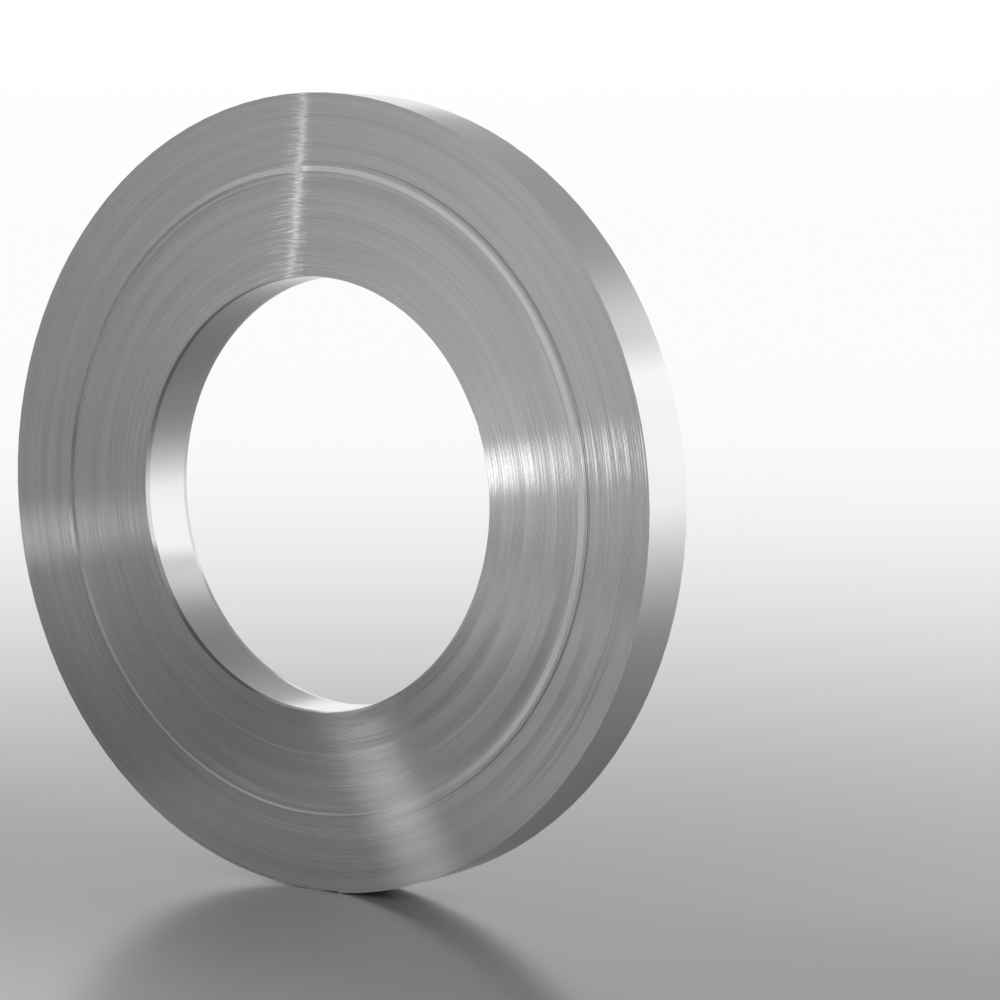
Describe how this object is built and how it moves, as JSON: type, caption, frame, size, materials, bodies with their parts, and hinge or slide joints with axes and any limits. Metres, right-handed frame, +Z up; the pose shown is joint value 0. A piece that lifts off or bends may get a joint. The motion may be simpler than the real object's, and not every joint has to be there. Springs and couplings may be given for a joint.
{
  "type": "coil of aluminium strip",
  "caption": "Narrow slit coil of bright mill-finish aluminium strip, wound tight on an open bore and standing on its rim.",
  "frame": {"origin": "on the floor under the middle of the coil, where its rim rests", "axes": "+Z up; Y along the coil's axis, with the front end facing -Y; X across"},
  "size_m": [0.9335, 0.079, 0.9327],
  "materials": {
    "aluminium_strip": "bright mill-finish rolled strip: smooth on the rim and in the bore, finely lined by the slit edges of the turns on both ends"
  },
  "bodies": {
    "root": {"strip_coil": "aluminium_strip"}
  },
  "joints": []
}
